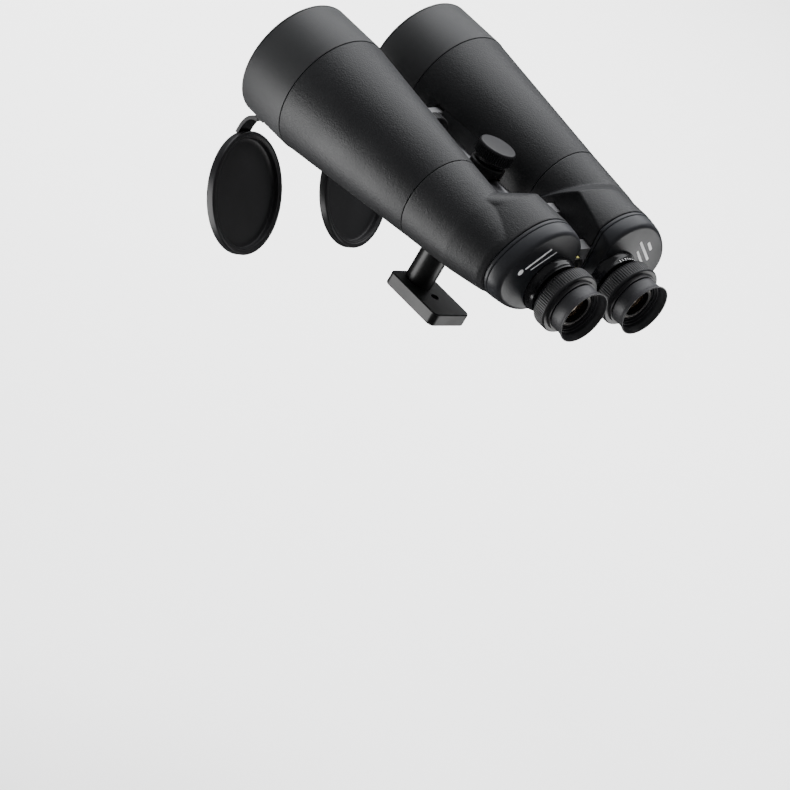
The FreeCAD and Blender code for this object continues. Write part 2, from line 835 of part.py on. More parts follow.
def arm_shape(side, margin):
    """The rear hinge arms as solids, for a right half; the left one is mirrored afterwards."""
    arms = []
    axis = FreeCAD.Vector(0, 1, 0)
    height = plain.arm_top + plain.arm_bottom + 2 * margin
    for start in knuckle_stations(side):
        rear = -start - plain.knuckle_length - margin
        length = plain.knuckle_length + 2 * margin
        radius = plain.knuckle_radius + margin
        arms.append(Part.makeCylinder(radius, length, FreeCAD.Vector(0, rear, 0), axis))
        arms.append(Part.makeBox(plain.arm_reach, length, height,
                                 FreeCAD.Vector(0, rear, -plain.arm_bottom - margin)))
    return arms[0].multiFuse(arms[1:])


def beside_wall(inset):
    """Everything on the hinge side of the flat, slanted wall that the rear arms come out of."""
    stop = plain.cover_rear + plain.overrun
    front = plain.wall_rear + inset + plain.wall_slope * plain.housing_rear
    rear = front - plain.wall_slope * stop
    high = 2 * plain.lobe_radius
    corners = [(-high, -stop), (rear, -stop), (front, 0), (-high, 0), (-high, -stop)]
    outline = Part.makePolygon([FreeCAD.Vector(x, y, -high) for x, y in corners])
    return Part.Face(outline).extrude(FreeCAD.Vector(0, 0, 2 * high))


def for_side(shape, side):
    if side > 0:
        return shape
    return shape.mirror(FreeCAD.Vector(0, 0, 0), FreeCAD.Vector(1, 0, 0))


def housing(name, side):
    """Rubber armour, metal prism housing with hinge arms, and the rear cover."""
    rear = plain.housing_rear
    skin = plain.skin
    cavity_inset = skin + plain.housing_wall
    outside = housing_block(0.0, plain.seam_rear, rear)
    body = housing_block(skin, plain.seam_rear, rear)
    cavity = housing_block(cavity_inset, plain.seam_rear + plain.housing_front_wall, rear)
    armour = outside.cut(body).cut(arm_shape(side, plain.arm_play))
    shaped(name + "_housing_armour", for_side(armour, side))
    axis = FreeCAD.Vector(0, 1, 0)
    depth = plain.housing_front_wall + plain.overrun
    centre = FreeCAD.Vector(plain.objective_offset, -plain.seam_rear - depth,
                            plain.objective_rise)
    light = Part.makeCylinder(plain.light_bore, depth + plain.overrun, centre, axis)
    pin = Part.makeCylinder(plain.spigot_radius + plain.fit_gap, plain.spigot_rear,
                            FreeCAD.Vector(0, -plain.spigot_rear, 0), axis)
    arms = arm_shape(side, 0).cut(cavity).cut(pin)
    metal = body.fuse(arms).cut(cavity).cut(light)
    shaped(name + "_prism_housing", for_side(metal, side))


def cover(name, side):
    """Rear cover with a stepped edge, a bevelled rim and the eyepiece hole."""
    start = plain.housing_rear + plain.cover_gap
    relief = plain.cover_relief
    inset = plain.cover_inset
    steps = [
        (relief, start), (relief, plain.cover_step),
        (inset, plain.cover_step + plain.cover_step_run), (inset, plain.cover_rim),
        (inset + plain.cover_bevel, plain.cover_rear),
    ]
    rings = [ring(outline_points(shrink, flat(-y))) for shrink, y in steps]
    outside = Part.makeLoft(rings, True, True).cut(beside_wall(relief))
    wall = plain.cover_inset + plain.cover_wall
    back = flat(-plain.cover_rear + plain.cover_wall)
    hollow = Part.makeLoft([ring(outline_points(wall, flat(-start + plain.overrun))),
                            ring(outline_points(wall, back))], True, True)
    hollow = hollow.cut(beside_wall(wall))
    behind = FreeCAD.Vector(plain.eyepiece_offset, -plain.cover_rear - plain.overrun,
                            -plain.eyepiece_drop)
    hole = Part.makeCylinder(plain.barrel_radius + plain.cover_hole_play,
                             plain.cover_wall + 2 * plain.overrun, behind,
                             FreeCAD.Vector(0, 1, 0))
    shaped(name + "_housing_cover", for_side(outside.cut(hollow).cut(hole), side))


def prisms(name, side):
    """Two right-angle prisms with rounded ends on either side of the shelf."""
    entry = FreeCAD.Vector(plain.objective_offset, 0, plain.objective_rise)
    exit_axis = FreeCAD.Vector(plain.eyepiece_offset, 0, -plain.eyepiece_drop)
    half = (exit_axis - entry) * 0.5
    aside = FreeCAD.Vector(half.z, 0, -half.x)
    middle = entry + half + aside
    backward = FreeCAD.Vector(0, -1, 0)
    radius = plain.prism_radius
    gap = plain.shelf_thickness / 2 + plain.prism_gap
    for label, begin, finish, into in (("rear_prism", entry, middle, -1),
                                       ("front_prism", middle, exit_axis, 1)):
        along = finish - begin
        across = along.cross(FreeCAD.Vector(0, 1, 0)).normalize()
        ahead = FreeCAD.Vector(along).normalize()
        face_y = -plain.shelf_plane + into * gap
        lift = FreeCAD.Vector(0, face_y, 0)
        low = begin - ahead * radius + lift
        high = finish + ahead * radius + lift
        depth = along.Length / 2 + radius
        tip = (begin + finish) * 0.5 + lift + FreeCAD.Vector(0, into * depth, 0)
        triangle = Part.Face(Part.makePolygon([low, high, tip, low]))
        triangle.translate(across * -radius)
        wedge = triangle.extrude(across * (2 * radius))
        ends = []
        for centre in (begin, finish):
            base = FreeCAD.Vector(centre.x, face_y, centre.z)
            ends.append(Part.makeCylinder(radius, depth, base, FreeCAD.Vector(0, into, 0)))
        side_a = begin + across * radius + lift
        side_b = finish + across * radius + lift
        side_c = finish - across * radius + lift
        side_d = begin - across * radius + lift
        slab = Part.Face(Part.makePolygon([side_a, side_b, side_c, side_d, side_a]))
        slab = slab.extrude(FreeCAD.Vector(0, into * depth, 0))
        outline = slab.multiFuse(ends)
        shaped(name + "_" + label, for_side(wedge.common(outline), side))
    inset = plain.skin + plain.housing_wall + plain.shelf_play
    face_y = -plain.shelf_plane + plain.shelf_thickness / 2
    inside = housing_block(inset, plain.seam_rear + plain.housing_front_wall, plain.housing_rear)
    bounds = inside.BoundBox
    layer = Part.makeBox(bounds.XLength, plain.shelf_thickness, bounds.ZLength, FreeCAD.Vector(
        bounds.XMin, face_y - plain.shelf_thickness, bounds.ZMin))
    plate = inside.common(layer)
    for centre in (entry, middle, exit_axis):
        start = FreeCAD.Vector(centre.x, face_y + plain.overrun, centre.z)
        length = plain.shelf_thickness + 2 * plain.overrun
        plate = plate.cut(Part.makeCylinder(plain.shelf_hole, length, start, backward))
    shaped(name + "_prism_shelf", for_side(plate, side))


# ---------------------------------------------------------------- eyepiece

def on_eyepiece_axis(side, y):
    return at(side * plain.eyepiece_offset, -y, -plain.eyepiece_drop, BACKWARD)


def eyepiece(name, side):
    """Fixed base, sliding barrel with two lenses, turning focus ring and rubber cup."""
    bore = size.barrel_radius + size.fit_gap
    turned(name + "_eyepiece_base", [
        (bore, 0), (size.base_radius, 0),
        (size.base_radius - size.base_flare, size.base_flare_length),
        (size.base_shoulder, size.base_shoulder_start),
        (size.base_shoulder, size.base_shoulder_end), (size.base_waist, size.base_shoulder_end),
        (size.base_waist, size.base_length), (bore, size.base_length),
    ], on_eyepiece_axis(side, plain.cover_rear))
    flange = size.flange_plane - size.barrel_front
    flange_end = flange + size.flange_length
    length = size.barrel_rear - size.barrel_front
    turned(name + "_eyepiece_barrel", [
        (size.barrel_bore, 0), (size.barrel_radius, 0), (size.barrel_radius, flange),
        (size.flange_radius, flange), (size.flange_radius, flange_end),
        (size.barrel_nose, flange_end), (size.barrel_nose, length), (size.barrel_bore, length),
    ], on_eyepiece_axis(side, plain.barrel_front))
    for label, plane, deep, bend in (
            ("_field_lens", plain.barrel_front + plain.field_lens_set,
             size.field_lens_thickness, size.field_lens_curve),
            ("_eye_lens", plain.barrel_rear - plain.eye_lens_set,
             size.eye_lens_thickness, size.eye_lens_curve)):
        disc = primitive("Cylinder", on_eyepiece_axis(side, plane),
                         Radius=size.barrel_bore - size.fit_gap, Height=deep)
        dome = primitive("Sphere", on_eyepiece_axis(side, plane + deep.value - bend.value),
                         Radius=bend)
        keep(combine("Common", disc, dome), name + label)
    step = size.flange_plane + size.flange_length + size.fit_gap - size.ring_front
    shoulder = size.ring_rear - size.ring_front
    end = size.ring_collar_rear - size.ring_front
    turned(name + "_focus_ring", [
        (size.ring_bore, 0), (size.ring_radius - size.ring_bevel, 0),
        (size.ring_radius, size.ring_bevel), (size.ring_radius, shoulder - size.ring_edge),
        (size.ring_radius - size.ring_edge, shoulder), (size.ring_collar, shoulder),
        (size.ring_collar, end), (size.ring_nose_bore, end), (size.ring_nose_bore, step),
        (size.ring_bore, step),
    ], on_eyepiece_axis(side, plain.ring_front))
    cup = size.cup_rear - size.ring_collar_rear
    turned(name + "_eyecup", [
        (size.cup_seat, 0), (size.cup_radius, 0), (size.cup_waist, size.cup_waist_place),
        (size.cup_swell, size.cup_swell_place), (size.cup_rim, cup - size.cup_lip),
        (size.cup_rim, cup), (size.cup_rim - size.cup_lip, cup),
        (size.cup_bore, size.cup_bore_place), (size.cup_bore, size.cup_floor),
        (size.cup_seat, size.cup_floor),
    ], on_eyepiece_axis(side, plain.ring_collar_rear))


# ---------------------------------------------------------------- objective caps

def cap(name, side):
    """Rubber cap that hangs on a strap below the front of the sleeve."""
    tilt = FreeCAD.Rotation(FreeCAD.Vector(1, 0, 0), 90 - plain.cap_tilt)
    twist = FreeCAD.Rotation(FreeCAD.Vector(0, 1, 0), plain.cap_twist)
    aside = plain.cap_aside + plain.cap_aside_more * (side > 0)
    across = side * plain.objective_offset - aside
    below = plain.cap_drop + plain.cap_drop_more * (side > 0)
    where = at(across, plain.cap_forward, -below, tilt.multiply(twist))
    floor = size.cap_thickness - size.cap_recess
    turned(name + "_objective_cap", [
        (0, -floor), (size.cap_radius - size.cap_back_edge, -floor),
        (size.cap_radius, -floor + size.cap_back_edge),
        (size.cap_radius, size.cap_recess - size.cap_rim_edge),
        (size.cap_radius - size.cap_rim_edge, size.cap_recess),
        (size.cap_recess_radius, size.cap_recess), (size.cap_recess_radius, 0), (0, 0),
    ], where)
    half = plain.strap_thickness / 2
    reach = math.sqrt(plain.sleeve_radius ** 2 - (aside - plain.strap_width / 2) ** 2)
    root = (plain.strap_forward, plain.objective_rise - reach - plain.strap_gap - half)
    lean = math.radians(plain.cap_tilt)
    rim = plain.cap_radius - plain.strap_overlap
    drop = floor.value / 2
    end = (plain.cap_forward + rim * math.sin(lean) + drop * math.cos(lean),
           -below + rim * math.cos(lean) - drop * math.sin(lean))
    shaped(name + "_cap_strap", strap_shape(across - plain.strap_width / 2, root, end, half))


STRAP_TENSION = 0.4
STRAP_DROOP = 0.05
STRAP_STEPS = 5


def strap_shape(left, root, end, half):
    """Flat strap that leaves its root forward, bends down and meets the cap's rim."""
    reach = STRAP_TENSION * math.hypot(end[0] - root[0], end[1] - root[1])
    droop = STRAP_DROOP * reach
    poles = [
        FreeCAD.Vector(left, root[0], root[1]),
        FreeCAD.Vector(left, root[0] + reach, root[1] - droop),
        FreeCAD.Vector(left, end[0] - droop, end[1] + reach),
        FreeCAD.Vector(left, end[0], end[1]),
    ]
    middle = Part.BezierCurve()
    middle.setPoles(poles)
    sides = []
    for sign in (-1, 1):
        points = []
        for step in range(STRAP_STEPS + 1):
            share = step / STRAP_STEPS
            tangent = middle.tangent(share)[0]
            across = FreeCAD.Vector(0, -tangent.z, tangent.y) * (half * sign)
            points.append(middle.value(share) + across)
        edge = Part.BSplineCurve()
        edge.interpolate(points)
        sides.append((edge, points))
    first, second = sides
    outline = Part.Wire(Part.sortEdges([
        first[0].toShape(), second[0].toShape(),
        Part.LineSegment(first[1][0], second[1][0]).toShape(),
        Part.LineSegment(first[1][-1], second[1][-1]).toShape(),
    ])[0])
    return Part.Face(outline).extrude(FreeCAD.Vector(plain.strap_width, 0, 0))


# ---------------------------------------------------------------- build, check, write

foot_plate()
thread_insert()
plate_screws()
pillar()
clamp()
rod()
for side_name, side_sign in SIDES.items():
    objective_side(side_name, side_sign)
    front_arm(side_name, side_sign)
    housing(side_name, side_sign)
    cover(side_name, side_sign)
    prisms(side_name, side_sign)
    eyepiece(side_name, side_sign)
    cap(side_name, side_sign)

# The two halves stand rolled about the rod by the pillar's lean, so the pillar is upright.
roll = FreeCAD.Placement(FreeCAD.Vector(), FreeCAD.Rotation(FreeCAD.Vector(0, 1, 0), -plain.lean),
                         HINGE_LINE)
for item in nodes:
    if item.Label.split("_")[0] in SIDES:
        item.Placement = roll.multiply(item.Placement)
doc.recompute()

for item in doc.Objects:
    if "Invalid" in item.State or "Error" in item.State:
        raise RuntimeError("{} has not computed: {}".format(item.Label, item.State))
for item in nodes:
    if item.Shape.isNull() or not item.Shape.isValid():
        raise RuntimeError("{} has no valid shape".format(item.Label))

os.makedirs("parts", exist_ok=True)
for item in nodes:
    item.Shape.exportStep("parts/{}.step".format(item.Label))
    box = item.Shape.BoundBox
    spans = "x {:7.1f} {:7.1f} y {:7.1f} {:7.1f} z {:7.1f} {:7.1f}".format(
        box.XMin, box.XMax, box.YMin, box.YMax, box.ZMin, box.ZMax)
    print("{:26s} solids {} volume {:9.1f} {}".format(
        item.Label, len(item.Shape.Solids), item.Shape.Volume, spans))
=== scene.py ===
import json
import math

import bmesh
import bpy
from mathutils import Matrix, Vector


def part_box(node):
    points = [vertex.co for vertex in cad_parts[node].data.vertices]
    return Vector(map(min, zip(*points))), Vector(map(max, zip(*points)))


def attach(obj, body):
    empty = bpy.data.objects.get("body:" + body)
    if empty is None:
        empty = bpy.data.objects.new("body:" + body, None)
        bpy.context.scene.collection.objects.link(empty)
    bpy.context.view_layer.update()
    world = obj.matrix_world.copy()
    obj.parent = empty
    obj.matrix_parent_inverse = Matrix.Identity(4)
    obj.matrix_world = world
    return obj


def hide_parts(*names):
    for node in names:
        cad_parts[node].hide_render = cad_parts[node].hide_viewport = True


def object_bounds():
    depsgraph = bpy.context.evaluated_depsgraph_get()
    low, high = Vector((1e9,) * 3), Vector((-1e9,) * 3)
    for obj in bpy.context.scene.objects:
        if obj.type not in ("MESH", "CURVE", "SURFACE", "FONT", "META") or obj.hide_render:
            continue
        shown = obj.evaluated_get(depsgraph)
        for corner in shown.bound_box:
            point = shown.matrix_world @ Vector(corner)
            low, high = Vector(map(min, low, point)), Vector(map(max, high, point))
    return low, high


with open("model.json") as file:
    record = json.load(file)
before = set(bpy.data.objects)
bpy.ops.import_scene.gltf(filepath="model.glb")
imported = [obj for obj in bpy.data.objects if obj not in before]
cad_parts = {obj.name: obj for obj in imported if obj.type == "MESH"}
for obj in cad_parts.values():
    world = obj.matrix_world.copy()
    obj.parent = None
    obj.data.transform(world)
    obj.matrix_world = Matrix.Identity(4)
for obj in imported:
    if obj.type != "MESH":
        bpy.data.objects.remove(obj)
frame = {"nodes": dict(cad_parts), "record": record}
cad_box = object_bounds()

# Astronomy binoculars on their tripod adapter.  Metres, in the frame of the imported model:
# +Y toward the objectives, +Z up the pillar, +X toward the user's right.

MM = 0.001
SIDES = {"left": -1, "right": 1}
JOINTS = {joint["name"]: joint for joint in frame["record"]["behaviour"]["joints"]}
HINGE = Vector(JOINTS["rod_roll"]["pos_m"])
ALONG = Vector((0, 1, 0))
ACROSS = Vector(JOINTS["left_cap_swing"]["axis"]).normalized()
UP = ACROSS.cross(ALONG)
UPRIGHT = Vector((0, 0, 1))


def turned_axis(x, y, z):
    """A direction given in the frame of the two halves, which lean a little."""
    return ACROSS * x + ALONG * y + UP * z


def place(x, y, z):
    """A point of the two halves, in mm from the hinge line: across, along and up."""
    return HINGE + turned_axis(x, y, z) * MM


def span(node):
    """Centre and half extents of a CAD node."""
    low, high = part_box(node)
    return (low + high) / 2, (high - low) / 2


# ---------------------------------------------------------------- mesh helpers

SAME_POINT = 1e-7
ON_AXIS = 1e-6
CORNER_ROUNDING = 0.4
CORNER_STEPS = 4
CORNER_SHARE = 0.45
LEAST_ROUNDING = 1e-3
SHARP_ANGLE = 38
TURNED_SHARP = 50
SMOOTH_SEGMENTS = 128
FINE_SEGMENTS = 192


def finish_piece(name, mesh, material, body, replaced=(), sharp=SHARP_ANGLE):
    """Turn a mesh into a piece that rides on a body and stands for CAD nodes."""
    mesh.validate()
    mesh.shade_smooth()
    mesh.set_sharp_from_angle(angle=math.radians(sharp))
    piece = bpy.data.objects.new(name, mesh)
    bpy.context.scene.collection.objects.link(piece)
    piece.data.materials.append(material)
    if body:
        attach(piece, body)
    if replaced:
        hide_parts(*replaced)
    return piece


def skin(name, rings, closed=True, ends=False):
    """A mesh through rings of equal point count; closed joins the last ring to the first."""
    count = len(rings[0])
    points = [point for ring in rings for point in ring]
    faces = []
    last = len(rings) if closed else len(rings) - 1
    for row in range(last):
        here = row * count
        there = ((row + 1) % len(rings)) * count
        for index in range(count):
            after = (index + 1) % count
            faces.append((here + index, here + after, there + after, there + index))
    if ends:
        faces.append(tuple(reversed(range(count))))
        start = (len(rings) - 1) * count
        faces.append(tuple(range(start, start + count)))
    mesh = bpy.data.meshes.new(name)
    mesh.from_pydata([tuple(point) for point in points], [], faces)
    outward(mesh)
    return mesh


def outward(mesh):
    work = bmesh.new()
    work.from_mesh(mesh)
    bmesh.ops.remove_doubles(work, verts=work.verts, dist=SAME_POINT)
    bmesh.ops.recalc_face_normals(work, faces=work.faces)
    work.to_mesh(mesh)
    work.free()


def round_corners(profile, radius):
    """Profile of (radius, along[, own rounding]) corners in mm, each rounded a little."""
    rounded = []
    count = len(profile)
    for index in range(count):
        before = Vector(profile[index - 1][:2])
        corner = Vector(profile[index][:2])
        after = Vector(profile[(index + 1) % count][:2])
        own = profile[index][2] if len(profile[index]) > 2 else radius
        shorter = min((before - corner).length, (after - corner).length)
        reach = min(own, shorter * CORNER_SHARE)
        if corner.x < ON_AXIS or reach < LEAST_ROUNDING:
            rounded.append(corner)
            continue
        start = corner + (before - corner).normalized() * reach
        end = corner + (after - corner).normalized() * reach
        for step in range(CORNER_STEPS + 1):
            share = step / CORNER_STEPS
            rounded.append(start.lerp(corner, share).lerp(corner.lerp(end, share), share))
    return rounded


def frame_of(origin, axis, up):
    """Matrix whose Z runs along axis and whose X is as near to up as it can be."""
    along = Vector(axis).normalized()
    side = (up - along * up.dot(along)).normalized()
    matrix = Matrix((side, along.cross(side), along)).transposed().to_4x4()
    matrix.translation = origin
    return matrix


def lathe(name, profile, matrix, segments=SMOOTH_SEGMENTS, radius=CORNER_ROUNDING,
          wave=None):
    """Closed turned solid; wave(angle, r, along) changes the radius of a point."""
    corners = round_corners(profile, radius)
    rings = []
    for r, along in corners:
        ring = []
        for index in range(segments):
            angle = 2 * math.pi * index / segments
            reach = wave(angle, r, along) if wave else r
            point = Vector((reach * math.cos(angle), reach * math.sin(angle), along))
            ring.append(matrix @ (point * MM))
        rings.append(ring)
    return skin(name, rings)


def cut_away(piece, cutter):
    """Take a cutter out of a piece, and remove the cutter."""
    change = piece.modifiers.new("cut", "BOOLEAN")
    change.object = cutter
    change.operation = "DIFFERENCE"
    change.solver = "EXACT"
    view = bpy.context.evaluated_depsgraph_get()
    mesh = bpy.data.meshes.new_from_object(piece.evaluated_get(view))
    piece.modifiers.clear()
    piece.data = mesh
    bpy.data.objects.remove(cutter)


def block(low, high):
    """A plain block, used only as a cutter."""
    mesh = bpy.data.meshes.new("cutter")
    work = bmesh.new()
    bmesh.ops.create_cube(work, size=1.0)
    for vertex in work.verts:
        vertex.co = Vector([low[i] + (vertex.co[i] + 0.5) * (high[i] - low[i])
                            for i in range(3)])
    work.to_mesh(mesh)
    work.free()
    cutter = bpy.data.objects.new("cutter", mesh)
    bpy.context.scene.collection.objects.link(cutter)
    return cutter


# ---------------------------------------------------------------- materials

NOISE_LOW = 0.3
NOISE_HIGH = 0.7
MIX_SHARE = 0
MIX_LOW = 6
MIX_HIGH = 7
MIX_RESULT = 2


class Nodes:
    """Short way to build a node material."""

    def __init__(self, name, color, rough, metallic=0.0, specular=0.5):
        self.material = bpy.data.materials.new(name)
        self.material.use_nodes = True
        self.tree = self.material.node_tree
        self.shader = self.tree.nodes["Principled BSDF"]
        self.shader.inputs["Base Color"].default_value = (*color, 1)
        self.shader.inputs["Roughness"].default_value = rough
        self.shader.inputs["Metallic"].default_value = metallic
        self.shader.inputs["Specular IOR Level"].default_value = specular
        self.color = color
        self.rough = rough
        self.place = self.add("ShaderNodeTexCoord").outputs["Object"]
        self.bump_out = None

    def add(self, kind, **inputs):
        node = self.tree.nodes.new(kind)
        for name, value in inputs.items():
            node.inputs[name.replace("_", " ")].default_value = value
        return node

    def link(self, a, b):
        self.tree.links.new(a, b)

    def scaled(self, scale):
        """Object coordinates stretched by a vector."""
        mapping = self.add("ShaderNodeMapping", Scale=scale)
        self.link(self.place, mapping.inputs["Vector"])
        return mapping.outputs["Vector"]

    def noise(self, scale, detail, rough=0.55, vector=None):
        node = self.add("ShaderNodeTexNoise", Scale=scale, Detail=detail, Roughness=rough)
        self.link(vector or self.place, node.inputs["Vector"])
        return node.outputs["Fac"]

    def cells(self, scale):
        node = self.add("ShaderNodeTexVoronoi", Scale=scale)
        self.link(self.place, node.inputs["Vector"])
        return node.outputs["Distance"]

    def ramp(self, source, low, high, start=NOISE_LOW, end=NOISE_HIGH):
        node = self.add("ShaderNodeMapRange")
        node.inputs["From Min"].default_value = start
        node.inputs["From Max"].default_value = end
        node.inputs["To Min"].default_value = low
        node.inputs["To Max"].default_value = high
        self.link(source, node.inputs["Value"])
        return node.outputs["Result"]

    def roughness(self, source, spread):
        """Vary the roughness by a little either way."""
        self.link(self.ramp(source, self.rough - spread, self.rough + spread),
                  self.shader.inputs["Roughness"])
        return self

    def tone(self, source, spread):
        """Vary the base colour by a share of itself."""
        mix = self.tree.nodes.new("ShaderNodeMix")
        mix.data_type = "RGBA"
        low = [channel * (1 - spread) for channel in self.color]
        high = [channel * (1 + spread) for channel in self.color]
        mix.inputs[MIX_LOW].default_value = (*low, 1)
        mix.inputs[MIX_HIGH].default_value = (*high, 1)
        self.link(self.ramp(source, 0.0, 1.0), mix.inputs[MIX_SHARE])
        self.link(mix.outputs[MIX_RESULT], self.shader.inputs["Base Color"])
        return self

    def bump(self, source, distance, strength=1.0):
        """Add a bump layer; distance in metres."""
        node = self.add("ShaderNodeBump", Strength=strength, Distance=distance)
        self.link(source, node.inputs["Height"])
        if self.bump_out:
            self.link(self.bump_out, node.inputs["Normal"])
        self.bump_out = node.outputs["Normal"]
        self.link(self.bump_out, self.shader.inputs["Normal"])
        return self


def plastic(name, color, rough, grain, depth, specular=0.5, spread=0.06, mottle=0.12):
    """Moulded or painted surface with a fine grain and slight unevenness."""
    made = Nodes(name, color, rough, 0.0, specular)
    broad = made.noise(35.0, 4.0)
    fine = made.noise(grain, 2.0)
    made.roughness(broad, spread).tone(broad, mottle)
    made.bump(fine, depth)
    return made.material


def leather_rubber(name, color, rough, scale, depth, specular):
    """Rubber armour with a leather grain: shallow cells with creases between them."""
    made = Nodes(name, color, rough, 0.0, specular)
    warp = made.noise(scale * 0.35, 2.0)
    creases = made.cells(scale)
    fine = made.noise(scale * 2.3, 3.0, 0.6)
    broad = made.noise(18.0, 3.0)
    made.roughness(broad, 0.05).tone(broad, 0.1)
    made.bump(warp, depth * 1.2, 0.8).bump(creases, depth, 0.9).bump(fine, depth * 0.5, 0.7)
    return made.material


def metal(name, color, rough, stretch):
    """Turned or brushed metal: fine lines around or along one axis."""
    made = Nodes(name, color, rough, 1.0, 0.5)
    lines = made.noise(400.0, 2.0, 0.6, made.scaled(stretch))
    broad = made.noise(60.0, 3.0)
    made.roughness(broad, 0.06).tone(broad, 0.08)
    made.bump(lines, 0.02 * MM)
    return made.material


def coated_glass(name, tint, coat, clear, mottle):
    """Coated lens: a tinted reflection over clear or dark glass."""
    made = Nodes(name, tint, 0.03, 0.0, 0.6)
    made.shader.inputs["Transmission Weight"].default_value = clear
    made.shader.inputs["IOR"].default_value = 1.5
    made.shader.inputs["Specular Tint"].default_value = (*coat, 1)
    haze = made.noise(45.0, 3.0)
    made.link(made.ramp(haze, 0.02, 0.07), made.shader.inputs["Roughness"])
    made.tone(made.noise(260.0, 1.5), mottle)
    made.bump(made.noise(30.0, 1.0), 0.004 * MM, 0.2)
    return made.material


ARMOUR = leather_rubber("armour_rubber", (0.0125, 0.0128, 0.0138), rough=0.45, scale=950.0,
                        depth=0.13 * MM, specular=0.30)
SLEEVE = leather_rubber("sleeve_rubber", (0.022, 0.0225, 0.0235), rough=0.52, scale=2200.0,
                        depth=0.03 * MM, specular=0.32)
CAP = plastic("cap_rubber", (0.0075, 0.0075, 0.0082), rough=0.40, grain=700.0,
              depth=0.02 * MM, specular=0.30)
CUP = plastic("cup_rubber", (0.020, 0.020, 0.022), rough=0.44, grain=900.0,
              depth=0.02 * MM, specular=0.34)
COVER = plastic("cover_satin", (0.015, 0.0158, 0.0185), rough=0.40, grain=1400.0,
                depth=0.01 * MM, specular=0.34)
ARM = plastic("arm_metal", (0.13, 0.13, 0.135), rough=0.48, grain=900.0,
              depth=0.03 * MM, specular=0.4)
INNER = plastic("inner_black", (0.006, 0.006, 0.006), rough=0.5, grain=900.0,
                depth=0.02 * MM, specular=0.3)
ANODISED = plastic("black_anodised", (0.005, 0.005, 0.005), rough=0.34, grain=1500.0,
                   depth=0.01 * MM, specular=0.32)
KNOB = plastic("knob_black", (0.009, 0.009, 0.010), rough=0.36, grain=1200.0,
               depth=0.01 * MM, specular=0.32)
RING = plastic("ring_black", (0.012, 0.012, 0.013), rough=0.38, grain=1200.0,
               depth=0.01 * MM, specular=0.40)
GLOSS = plastic("gloss_black", (0.006, 0.006, 0.007), rough=0.20, grain=1200.0,
                depth=0.01 * MM)
PAD = plastic("pad_plastic", (0.5, 0.5, 0.48), rough=0.4, grain=900.0, depth=0.02 * MM)
MARK = plastic("mark_white", (0.88, 0.88, 0.88), rough=0.5, grain=900.0, depth=0.01 * MM)
SCALE = plastic("scale_yellow", (0.42, 0.40, 0.10), rough=0.5, grain=900.0, depth=0.01 * MM)
ROD = metal("rod_steel", (0.10, 0.10, 0.105), rough=0.3, stretch=(0.2, 6.0, 0.2))
BLACK_STEEL = metal("black_steel", (0.04, 0.04, 0.04), rough=0.35, stretch=(1.0, 1.0, 1.0))
NICKEL = metal("nickel", (0.42, 0.38, 0.32), rough=0.25, stretch=(1.0, 1.0, 6.0))
BRONZE = metal("bronze_bush", (0.30, 0.21, 0.12), rough=0.4, stretch=(0.3, 5.0, 0.3))
CAP_METAL = metal("cap_metal", (0.42, 0.41, 0.38), rough=0.28, stretch=(0.3, 5.0, 0.3))
EDGE_METAL = metal("edge_metal", (0.10, 0.095, 0.09), rough=0.3, stretch=(0.3, 5.0, 0.3))
GLASS = coated_glass("optical_glass", tint=(0.90, 0.90, 0.88), coat=(0.42, 0.50, 0.62),
                     clear=1.0, mottle=0.02)
EYE_GLASS = coated_glass("eye_glass", tint=(0.016, 0.010, 0.006), coat=(1.0, 0.66, 0.42),
                         clear=0.0, mottle=0.8)

FINISHES = {
    "armour_rubber": ARMOUR, "sleeve_rubber": SLEEVE, "cap_rubber": CAP, "cup_rubber": CUP,
    "cover_satin": COVER, "arm_metal": ARM, "inner_black": INNER, "black_anodised": ANODISED,
    "knob_black": KNOB, "ring_black": RING, "gloss_black": GLOSS, "rod_steel": ROD,
    "black_steel": BLACK_STEEL, "nickel": NICKEL, "bronze_bush": BRONZE, "pad_plastic": PAD,
    "cap_metal": CAP_METAL, "optical_glass": GLASS,
}
for entry in frame["record"]["subparts"]:
    node = frame["nodes"][entry["node"]]
    finish = FINISHES[entry["material_slot"]]
    if entry["node"].endswith("eye_lens"):
        finish = EYE_GLASS
    for holder in node.material_slots:
        holder.material = finish


# ---------------------------------------------------------------- CAD nodes softened in place

EDGE_ANGLE = 35
EDGE_SEGMENTS = 3
METAL_EDGE = 0.5
STRAP_EDGE = 0.9
STRAP_EDGE_ANGLE = 30
RUBBER_GRID = 0.7
RUBBER_TURNS = 7
MELT_SHARE = 0.5
WELD_REACH = 0.02


def soften(node, width, angle=EDGE_ANGLE):
    """Round a CAD node's edges a little, without touching its own mesh."""
    change = frame["nodes"][node].modifiers.new("edges", "BEVEL")
    change.width = width * MM
    change.segments = EDGE_SEGMENTS
    change.limit_method = "ANGLE"
    change.angle_limit = math.radians(angle)


def melt(node, grid, turns):
    """Run a CAD node's sharp creases into fillets, as moulded rubber has them."""
    thing = frame["nodes"][node]
    weld = thing.modifiers.new("weld", "WELD")
    weld.merge_threshold = WELD_REACH * MM
    grain = thing.modifiers.new("grid", "REMESH")
    grain.mode = "VOXEL"
    grain.voxel_size = grid * MM
    grain.use_smooth_shade = True
    smooth = thing.modifiers.new("smooth", "SMOOTH")
    smooth.factor = MELT_SHARE
    smooth.iterations = turns


for name in ("foot_plate", "pillar"):
    soften(name, METAL_EDGE)
for side in SIDES:
    melt(side + "_housing_armour", RUBBER_GRID, RUBBER_TURNS)
    soften(side + "_prism_housing", METAL_EDGE)
    soften(side + "_front_arm", METAL_EDGE)
    soften(side + "_cap_strap", STRAP_EDGE, STRAP_EDGE_ANGLE)


# ---------------------------------------------------------------- barrels
# Profiles are turned outlines in mm: (radius, place along the axis[, rounding of the corner]).

